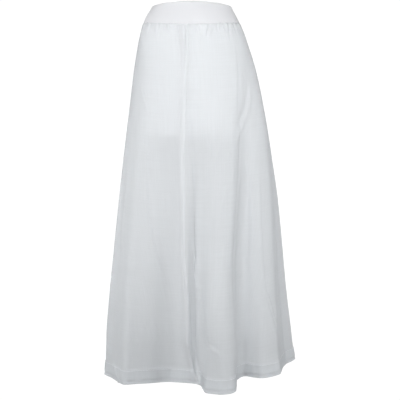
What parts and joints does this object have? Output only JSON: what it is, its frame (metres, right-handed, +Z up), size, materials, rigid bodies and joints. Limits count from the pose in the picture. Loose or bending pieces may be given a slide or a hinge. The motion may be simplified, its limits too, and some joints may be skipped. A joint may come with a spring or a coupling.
{
  "type": "long sheer skirt",
  "caption": "Ankle-length flared skirt of sheer cloth, gathered into a shaped waistband, with a short lining and a concealed back zip, filled out as worn.",
  "frame": {"origin": "middle of the waist opening, level with the waistband's upper edge at the sides, where the wearer's waist holds the skirt up", "axes": "+Z up along the wearer's body, the front faces -Y, +X is the wearer's left side"},
  "size_m": [0.546, 0.494, 1.023],
  "materials": {
    "voile": "sheer matte white cotton voile, plain weave",
    "waistband_cloth": "matte white voile over interfacing and batiste",
    "lining_batiste": "matte white cotton batiste",
    "zip_tape": "white knitted polyester tape",
    "zip_nylon": "satin white nylon coil",
    "zip_enamel": "gloss white enamel on zinc"
  },
  "bodies": {
    "skirt": {"waistband_front": "waistband_cloth", "waistband_back_left": "waistband_cloth", "waistband_back_right": "waistband_cloth", "skirt_front": "voile", "skirt_back_left": "voile", "skirt_back_right": "voile", "hem_front": "voile", "hem_back_left": "voile", "hem_back_right": "voile", "lining_front": "lining_batiste", "lining_back_left": "lining_batiste", "lining_back_right": "lining_batiste", "zip_tape_left": "zip_tape", "zip_tape_right": "zip_tape", "zip_chain": "zip_nylon", "zip_slider": "zip_enamel", "zip_bridge": "zip_enamel"},
    "pull": {"zip_pull": "zip_enamel"}
  },
  "joints": [
    {"name": "pull_hinge", "type": "hinge", "parent": "skirt", "child": "pull", "pos_m": [0, 0.09394, -0.01032], "axis": [1, 0, 0], "range_deg": [0, 150]}
  ]
}
